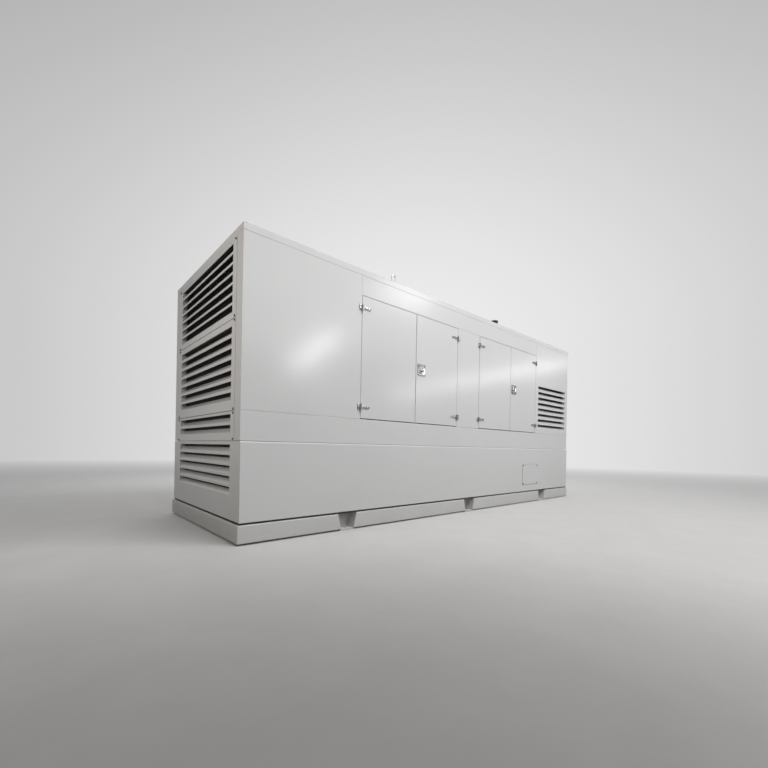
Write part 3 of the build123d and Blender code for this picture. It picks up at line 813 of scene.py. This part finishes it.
# Lifting loops: round bars on bolted feet, with weld beads
LOOP_BAR = 0.007
LOOP_HALF_SPACING = 0.023
LOOP_FOOT = 0.006
LOOP_FOOT_HALF_WIDTH = 0.028
LOOP_EDGE = 0.0015
LOOP_BOLT_INSET = 0.012
LOOP_BOLT_RADIUS = 0.0065
WELD_RADIUS = 0.003
WELD_SIDES = 8
ARC_STEPS = 20
low, high = node_corners("lifting_loops")
loop_mid = (low.x + high.x) / 2
loop_lines = (low.y + LOOP_FOOT_HALF_WIDTH, high.y - LOOP_FOOT_HALF_WIDTH)
loops = bmesh.new()
for y in loop_lines:
    foot_low = Vector((low.x, y - LOOP_FOOT_HALF_WIDTH, low.z))
    foot_high = Vector((high.x, y + LOOP_FOOT_HALF_WIDTH, low.z + LOOP_FOOT))
    add_block(loops, foot_low, foot_high, LOOP_EDGE)
    turn_z = high.z - LOOP_BAR - LOOP_HALF_SPACING
    path = [Vector((loop_mid - LOOP_HALF_SPACING, y, low.z + LOOP_FOOT / 2))]
    for step in range(ARC_STEPS + 1):
        angle = math.pi * (1 - step / ARC_STEPS)
        run, rise = LOOP_HALF_SPACING * math.cos(angle), LOOP_HALF_SPACING * math.sin(angle)
        path.append(Vector((loop_mid + run, y, turn_z + rise)))
    path.append(Vector((loop_mid + LOOP_HALF_SPACING, y, low.z + LOOP_FOOT / 2)))
    add_bar(loops, path, (0, 1, 0), LOOP_BAR)
    for leg in (loop_mid - LOOP_HALF_SPACING, loop_mid + LOOP_HALF_SPACING):
        weld = [
            Vector((leg + LOOP_BAR * math.cos(angle), y + LOOP_BAR * math.sin(angle), foot_high.z))
            for angle in (math.tau * step / ARC_STEPS for step in range(ARC_STEPS))
        ]
        add_bar(loops, weld, (0, 0, 1), WELD_RADIUS, WELD_SIDES, closed=True)
    for x in (low.x + LOOP_BOLT_INSET, high.x - LOOP_BOLT_INSET):
        for side in (-1, 1):
            bolt_y = y + side * (LOOP_FOOT_HALF_WIDTH - LOOP_BOLT_INSET)
            screws["canopy"].append(((x, bolt_y, foot_high.z), (0, 0, 1), LOOP_BOLT_RADIUS))
loop_piece = shaped_piece("lifting_loop_bars", loops, galvanised, "canopy")
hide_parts("lifting_loops")


# Screw heads: sizes as shares of the radius, the rim as a share of the height
HEAD_SIZES = {"Head Height": 0.62, "Dome Share": 0.74, "Socket Share": 0.46, "Socket Depth": 0.4}
HEAD_SIDES = 12
RIM_SHARE = 0.55
MERGE_REACH = 0.001


def screw_head_tree():
    """Geometry Nodes: a domed socket head on every point, turned to its facing."""
    tree = bpy.data.node_groups.new("socket_screw_heads", "GeometryNodeTree")
    tree.interface.new_socket("Points", in_out="INPUT", socket_type="NodeSocketGeometry")
    for name, value in HEAD_SIZES.items():
        item = tree.interface.new_socket(name, in_out="INPUT", socket_type="NodeSocketFloat")
        item.default_value = value
    tree.interface.new_socket("Finish", in_out="INPUT", socket_type="NodeSocketMaterial")
    tree.interface.new_socket("Heads", in_out="OUTPUT", socket_type="NodeSocketGeometry")
    given = tree.nodes.new("NodeGroupInput").outputs
    out = tree.nodes.new("NodeGroupOutput")

    head = put(tree, "GeometryNodeMeshCircle", {"Vertices": HEAD_SIDES, "Radius": 1.0}, fill_type="NGON")
    under = put(tree, "GeometryNodeFlipFaces")
    feed(tree, head.outputs[0], under, "Mesh")
    grown = head.outputs[0]
    top = None
    rim = maths(tree, "MULTIPLY", given["Head Height"], RIM_SHARE)
    crown = maths(tree, "SUBTRACT", given["Head Height"], rim)
    sunk = maths(tree, "MULTIPLY", given["Socket Depth"], -1.0)
    pushes = ((rim, None), (crown, given["Dome Share"]), (0.0, given["Socket Share"]), (sunk, None))
    for lift, share in pushes:
        push = put(tree, "GeometryNodeExtrudeMesh", mode="FACES")
        feed(tree, grown, push, "Mesh")
        if top is not None:
            feed(tree, top, push, "Selection")
        if isinstance(lift, float):
            push.inputs["Offset Scale"].default_value = lift
        else:
            feed(tree, lift, push, "Offset Scale")
        grown, top = push.outputs["Mesh"], push.outputs["Top"]
        if share is not None:
            narrow = put(tree, "GeometryNodeScaleElements")
            feed(tree, grown, narrow, "Geometry")
            feed(tree, top, narrow, "Selection")
            feed(tree, share, narrow, "Scale")
            grown = narrow.outputs[0]

    both = put(tree, "GeometryNodeJoinGeometry")
    feed(tree, grown, both, 0)
    feed(tree, under.outputs[0], both, 0)
    whole = put(tree, "GeometryNodeMergeByDistance", {"Distance": MERGE_REACH})
    feed(tree, both.outputs[0], whole, "Geometry")

    facing = put(tree, "GeometryNodeInputNamedAttribute", {"Name": "facing"}, data_type="FLOAT_VECTOR")
    size = put(tree, "GeometryNodeInputNamedAttribute", {"Name": "head_radius"}, data_type="FLOAT")
    turn = put(tree, "FunctionNodeAlignRotationToVector", axis="Z")
    feed(tree, facing.outputs["Attribute"], turn, "Vector")
    set_out = put(tree, "GeometryNodeInstanceOnPoints")
    feed(tree, given["Points"], set_out, "Points")
    feed(tree, whole.outputs[0], set_out, "Instance")
    feed(tree, turn.outputs[0], set_out, "Rotation")
    feed(tree, size.outputs["Attribute"], set_out, "Scale")
    real = put(tree, "GeometryNodeRealizeInstances")
    feed(tree, set_out.outputs[0], real, 0)
    coat = put(tree, "GeometryNodeSetMaterial")
    feed(tree, real.outputs[0], coat, "Geometry")
    feed(tree, given["Finish"], coat, "Material")
    feed(tree, coat.outputs[0], out, "Heads")
    return tree


def socket_id(tree, name):
    """Identifier of a named input of a Geometry Nodes tree."""
    for item in tree.interface.items_tree:
        if item.item_type == "SOCKET" and item.in_out == "INPUT" and item.name == name:
            return item.identifier
    raise KeyError(name)


def set_screws(name, tree, places, finish, body):
    """Runs the tree on a list of places and keeps the result as one plain mesh."""
    seed = bpy.data.meshes.new(name + "_places")
    seed.from_pydata([place for place, facing, radius in places], [], [])
    seed.attributes.new("facing", "FLOAT_VECTOR", "POINT")
    seed.attributes.new("head_radius", "FLOAT", "POINT")
    for index, (place, facing, radius) in enumerate(places):
        seed.attributes["facing"].data[index].vector = facing
        seed.attributes["head_radius"].data[index].value = radius
    maker = bpy.data.objects.new(name + "_maker", seed)
    scene.collection.objects.link(maker)
    modifier = maker.modifiers.new("heads", "NODES")
    modifier.node_group = tree
    modifier[socket_id(tree, "Finish")] = finish
    graph = bpy.context.evaluated_depsgraph_get()
    mesh = bpy.data.meshes.new_from_object(maker.evaluated_get(graph))
    maker.modifiers.remove(modifier)
    bpy.data.objects.remove(maker)
    bpy.data.meshes.remove(seed)
    mesh.name = name
    new_piece(name, mesh, finish, body)


head_tree = screw_head_tree()
for body, places in screws.items():
    set_screws(body + "_screws", head_tree, places, fastener_zinc, body)


# Floor, light and camera

# Camera: place, angles and lens
CAMERA_PLACE = (-3.869, -3.765, 0.744)
CAMERA_SWING, CAMERA_TILT, CAMERA_ROLL = (math.radians(angle) for angle in (41.65, -0.16, 1.1))
SENSOR_WIDTH, FOCAL_LENGTH, LENS_SHIFT = 36.0, 18.39, 0.0849
VIEW_END = 500.0

# Backdrop: the level way from the camera to the object, and how the tone falls beside and above it
AWAY = (0.719, 0.695, 0.0)
BACKDROP_ASIDE = 0.46
SKY_START, SKY_FALL = 0.25, 1.4
AMBIENT_STRENGTH = 0.44

# Floor, with painted shade near the camera, and faded by the distance from it
FLOOR_RADIUS, FLOOR_SIDES, FLOOR_DROP = 90.0, 96, 0.0015
NEAR_SHADE_START, NEAR_SHADE_FULL = 3.5, 0.6
FADE_START, FADE_FULL = 3.0, 21.0

# Lamps
GLOW_LINE = -8.0
WARM = (1.0, 0.93, 0.84)


def path_mask(tree):
    """One for rays that should see the pale surroundings: camera, glossy and transmission rays."""
    path = put(tree, "ShaderNodeLightPath")
    seen = maths(tree, "MAXIMUM", path.outputs["Is Camera Ray"], path.outputs["Is Glossy Ray"])
    return maths(tree, "MAXIMUM", seen, path.outputs["Is Transmission Ray"])


def backdrop_level(tree, way):
    """Brightness of the backdrop by direction: full ahead of the camera, less to the sides and behind."""
    level = put(tree, "ShaderNodeVectorMath", operation="NORMALIZE")
    feed(tree, stretched(tree, way, (1.0, 1.0, 0.0)), level, 0)
    ahead = put(tree, "ShaderNodeVectorMath", {1: AWAY}, operation="DOT_PRODUCT")
    feed(tree, level.outputs[0], ahead, 0)
    facing = maths(tree, "MAXIMUM", ahead.outputs["Value"], 0.0)
    return spread(tree, maths(tree, "MULTIPLY", facing, facing), 0.0, 1.0, BACKDROP_ASIDE, 1.0)


def make_floor():
    """A wide pale floor with painted shade near the camera, that fades into the backdrop."""
    mesh = bpy.data.meshes.new("studio_floor")
    shape = bmesh.new()
    bmesh.ops.create_circle(
        shape, cap_ends=True, radius=FLOOR_RADIUS, segments=FLOOR_SIDES,
        matrix=Matrix.Translation((0, 0, -FLOOR_DROP)),
    )
    shape.to_mesh(mesh)
    shape.free()
    floor = bpy.data.objects.new("studio_floor", mesh)
    scene.collection.objects.link(floor)

    finish = bpy.data.materials.new("studio_floor")
    finish.use_nodes = True
    tree = finish.node_tree
    tree.nodes.clear()
    where = put(tree, "ShaderNodeTexCoord").outputs["Object"]
    seen = path_mask(tree)
    grain = spread(tree, noise(tree, where, scale=3.0, detail=6.0, rough=0.6), 0.3, 0.7, 0.97, 1.03)
    ray = put(tree, "ShaderNodeVectorMath", {1: (*CAMERA_PLACE[:2], 0.0)}, operation="SUBTRACT")
    feed(tree, where, ray, 0)
    reach = put(tree, "ShaderNodeVectorMath", operation="LENGTH")
    feed(tree, ray.outputs[0], reach, 0)
    # Painted shade on the floor, growing towards the camera
    near_shade = put(tree, "ShaderNodeMapRange", {1: NEAR_SHADE_START, 2: NEAR_SHADE_FULL}, interpolation_type="SMOOTHSTEP")
    feed(tree, reach.outputs["Value"], near_shade, 0)
    tone = blend_colour(tree, near_shade.outputs[0], FLOOR_PALE, FLOOR_NEAR_SHADE)
    pale = blend_colour(tree, 1.0, tone, grain, "MULTIPLY")
    plain = put(tree, "ShaderNodeBsdfDiffuse")
    feed(tree, blend_colour(tree, seen, FLOOR_BOUNCE, pale), plain, "Color")
    haze = put(tree, "ShaderNodeEmission", {"Color": BACKDROP})
    feed(tree, backdrop_level(tree, ray.outputs[0]), haze, "Strength")
    far = spread(tree, reach.outputs["Value"], FADE_START, FADE_FULL)
    fade = put(tree, "ShaderNodeMixShader")
    feed(tree, maths(tree, "MULTIPLY", far, seen), fade, 0)
    feed(tree, plain.outputs[0], fade, 1)
    feed(tree, haze.outputs[0], fade, 2)
    output = put(tree, "ShaderNodeOutputMaterial")
    feed(tree, fade.outputs[0], output, "Surface")
    mesh.materials.append(finish)


def make_world():
    """Even grey surroundings for the light, and a pale backdrop for what sees them."""
    world = bpy.data.worlds.new("studio")
    scene.world = world
    world.use_nodes = True
    tree = world.node_tree
    tree.nodes.clear()
    way = put(tree, "ShaderNodeTexCoord").outputs["Generated"]
    parts = put(tree, "ShaderNodeSeparateXYZ")
    feed(tree, way, parts, 0)
    rise = maths(tree, "MAXIMUM", maths(tree, "SUBTRACT", parts.outputs["Z"], SKY_START), 0.0)
    fall = maths(tree, "MULTIPLY", maths(tree, "MULTIPLY", rise, rise), SKY_FALL)
    upward = maths(tree, "SUBTRACT", 1.0, fall)
    backdrop = put(tree, "ShaderNodeBackground", {"Color": BACKDROP})
    feed(tree, maths(tree, "MULTIPLY", backdrop_level(tree, way), upward), backdrop, "Strength")
    ambient = put(tree, "ShaderNodeBackground", {"Color": AMBIENT, "Strength": AMBIENT_STRENGTH})
    both = put(tree, "ShaderNodeMixShader")
    feed(tree, path_mask(tree), both, 0)
    feed(tree, ambient.outputs[0], both, 1)
    feed(tree, backdrop.outputs[0], both, 2)
    output = put(tree, "ShaderNodeOutputWorld")
    feed(tree, both.outputs[0], output, "Surface")


def softbox(name, place, aim, size, power, colour=(1, 1, 1), lean=0.0, cone=180.0, matt=True, sheen=True):
    """A rectangular lamp turned to a point and leant about its own axis, for matt light, sheen or both."""
    lamp = bpy.data.lights.new(name, "AREA")
    lamp.shape = "RECTANGLE"
    lamp.size, lamp.size_y = size
    lamp.energy = power
    lamp.color = colour
    lamp.spread = math.radians(cone)
    holder = bpy.data.objects.new(name, lamp)
    scene.collection.objects.link(holder)
    holder.location = place
    facing = (Vector(aim) - Vector(place)).to_track_quat("-Z", "Y")
    holder.rotation_euler = (facing @ Quaternion((0, 0, 1), math.radians(lean))).to_euler()
    holder.visible_diffuse = matt
    holder.visible_glossy = sheen


def glow(name, x, z, size, power, **settings):
    """A lamp far out that looks straight at the front, whose mirror image is one of the sheens there."""
    softbox(name, (x, GLOW_LINE, z), (x, front_face, z), size, power, **settings)


def make_camera():
    """A wide lens low at the front left corner, level but for a slight roll."""
    right = Vector((math.cos(CAMERA_SWING), -math.sin(CAMERA_SWING), 0))
    level = Vector((math.sin(CAMERA_SWING), math.cos(CAMERA_SWING), 0))
    ahead = level * math.cos(CAMERA_TILT) + Vector((0, 0, math.sin(CAMERA_TILT)))
    up = right.cross(ahead)
    side = right * math.cos(CAMERA_ROLL) + up * math.sin(CAMERA_ROLL)
    top = up * math.cos(CAMERA_ROLL) - right * math.sin(CAMERA_ROLL)
    lens = bpy.data.cameras.new("camera")
    lens.sensor_width = SENSOR_WIDTH
    lens.lens = FOCAL_LENGTH
    lens.shift_y = LENS_SHIFT
    lens.clip_end = VIEW_END
    holder = bpy.data.objects.new("camera", lens)
    scene.collection.objects.link(holder)
    turn = Matrix((side, top, -ahead)).transposed().to_4x4()
    holder.matrix_world = Matrix.Translation(CAMERA_PLACE) @ turn
    scene.camera = holder


make_floor()
make_world()
softbox("key", place=(0.0, -5.0, 7.0), aim=(-0.2, -0.9, 1.7), size=(7.0, 2.5), power=475.0)
glow("glow_left", x=2.25, z=3.58, size=(1.9, 0.35), power=46.0, lean=41.7)
glow("glow_corner", x=0.9, z=4.6, size=(3.6, 2.6), power=45.0)
glow("glow_middle", x=5.4, z=4.9, size=(6.0, 2.2), power=42.0, matt=False)
glow("glow_header", x=6.0, z=6.25, size=(2.5, 0.4), power=60.0)
glow("glow_doors", x=12.0, z=4.2, size=(13.6, 0.4), power=115.0, lean=13.4, matt=False)
softbox(
    "end_fill", place=(-4.6, -0.75, 2.2), aim=(-2.74, -0.6, 1.65), size=(1.0, 1.4), power=9.5,
    colour=WARM, cone=130.0, sheen=False,
)
softbox("rear_fill", place=(0.3, 5.5, 4.5), aim=(0.3, 0.9, 1.2), size=(5.0, 2.0), power=150.0)
softbox("right_fill", place=(5.5, 2.5, 3.5), aim=(2.74, 0.0, 1.2), size=(2.0, 2.0), power=50.0)
make_camera()
scene.view_settings.view_transform = "Standard"
